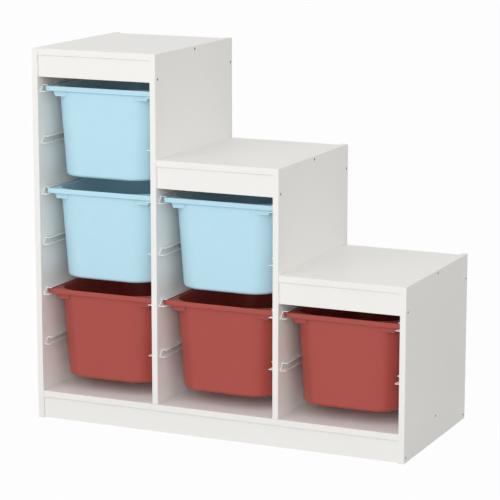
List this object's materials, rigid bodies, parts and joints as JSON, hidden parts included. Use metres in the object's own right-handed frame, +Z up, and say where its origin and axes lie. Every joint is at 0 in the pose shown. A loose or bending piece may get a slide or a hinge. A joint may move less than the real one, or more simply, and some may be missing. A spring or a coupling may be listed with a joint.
{
  "type": "toy storage organizer with bins",
  "caption": "Stepped white storage frame whose open bays descend like stairs, with blue and red tapered plastic bins that hang by their rims in channel rails and pull out.",
  "frame": {"origin": "on the floor, under the middle of the whole frame's width and depth", "axes": "+X to the right as the user faces the open front, from the tall bay to the low bay; -Y towards the user; +Z up"},
  "size_m": [0.99, 0.44, 0.941],
  "materials": {
    "white_board": "particleboard covered in smooth matt white foil",
    "screw_steel": "zinc-plated steel, dark in the sockets",
    "rail_plastic": "milky moulded plastic",
    "blue_bin": "light blue moulded plastic, satin",
    "red_bin": "brick red moulded plastic, satin"
  },
  "bodies": {
    "frame": {"left_side_panel": "white_board", "tall_partition": "white_board", "mid_partition": "white_board", "right_side_panel": "white_board", "tall_top_panel": "white_board", "mid_top_panel": "white_board", "low_top_panel": "white_board", "bottom_panel": "white_board", "tall_front_apron": "white_board", "mid_front_apron": "white_board", "low_front_apron": "white_board", "plinth": "white_board", "tall_back_rail": "white_board", "mid_back_rail": "white_board", "low_back_rail": "white_board", "bottom_back_rail": "white_board", "left_side_screws": "screw_steel", "tall_partition_screws": "screw_steel", "mid_partition_screws": "screw_steel", "right_side_screws": "screw_steel", "tall_left_rail_1": "rail_plastic", "tall_left_rail_2": "rail_plastic", "tall_left_rail_3": "rail_plastic", "tall_left_rail_4": "rail_plastic", "tall_left_rail_5": "rail_plastic", "tall_left_rail_6": "rail_plastic", "tall_right_rail_1": "rail_plastic", "tall_right_rail_2": "rail_plastic", "tall_right_rail_3": "rail_plastic", "tall_right_rail_4": "rail_plastic", "tall_right_rail_5": "rail_plastic", "tall_right_rail_6": "rail_plastic", "mid_left_rail_1": "rail_plastic", "mid_left_rail_2": "rail_plastic", "mid_left_rail_3": "rail_plastic", "mid_left_rail_4": "rail_plastic", "mid_right_rail_1": "rail_plastic", "mid_right_rail_2": "rail_plastic", "mid_right_rail_3": "rail_plastic", "mid_right_rail_4": "rail_plastic", "low_left_rail_1": "rail_plastic", "low_left_rail_2": "rail_plastic", "low_right_rail_1": "rail_plastic", "low_right_rail_2": "rail_plastic"},
    "tall_bay_top_bin_body": {"tall_bay_top_bin": "blue_bin"},
    "tall_bay_middle_bin_body": {"tall_bay_middle_bin": "blue_bin"},
    "tall_bay_bottom_bin_body": {"tall_bay_bottom_bin": "red_bin"},
    "mid_bay_top_bin_body": {"mid_bay_top_bin": "blue_bin"},
    "mid_bay_bottom_bin_body": {"mid_bay_bottom_bin": "red_bin"},
    "low_bay_bin_body": {"low_bay_bin": "red_bin"}
  },
  "joints": [
    {"name": "tall_bay_top_slide", "type": "slide", "parent": "frame", "child": "tall_bay_top_bin_body", "axis": [0, -1, 0], "range_m": [0, 0.43]},
    {"name": "tall_bay_middle_slide", "type": "slide", "parent": "frame", "child": "tall_bay_middle_bin_body", "axis": [0, -1, 0], "range_m": [0, 0.43]},
    {"name": "tall_bay_bottom_slide", "type": "slide", "parent": "frame", "child": "tall_bay_bottom_bin_body", "axis": [0, -1, 0], "range_m": [0, 0.43]},
    {"name": "mid_bay_top_slide", "type": "slide", "parent": "frame", "child": "mid_bay_top_bin_body", "axis": [0, -1, 0], "range_m": [0, 0.43]},
    {"name": "mid_bay_bottom_slide", "type": "slide", "parent": "frame", "child": "mid_bay_bottom_bin_body", "axis": [0, -1, 0], "range_m": [0, 0.43]},
    {"name": "low_bay_slide", "type": "slide", "parent": "frame", "child": "low_bay_bin_body", "axis": [0, -1, 0], "range_m": [0, 0.43]}
  ]
}
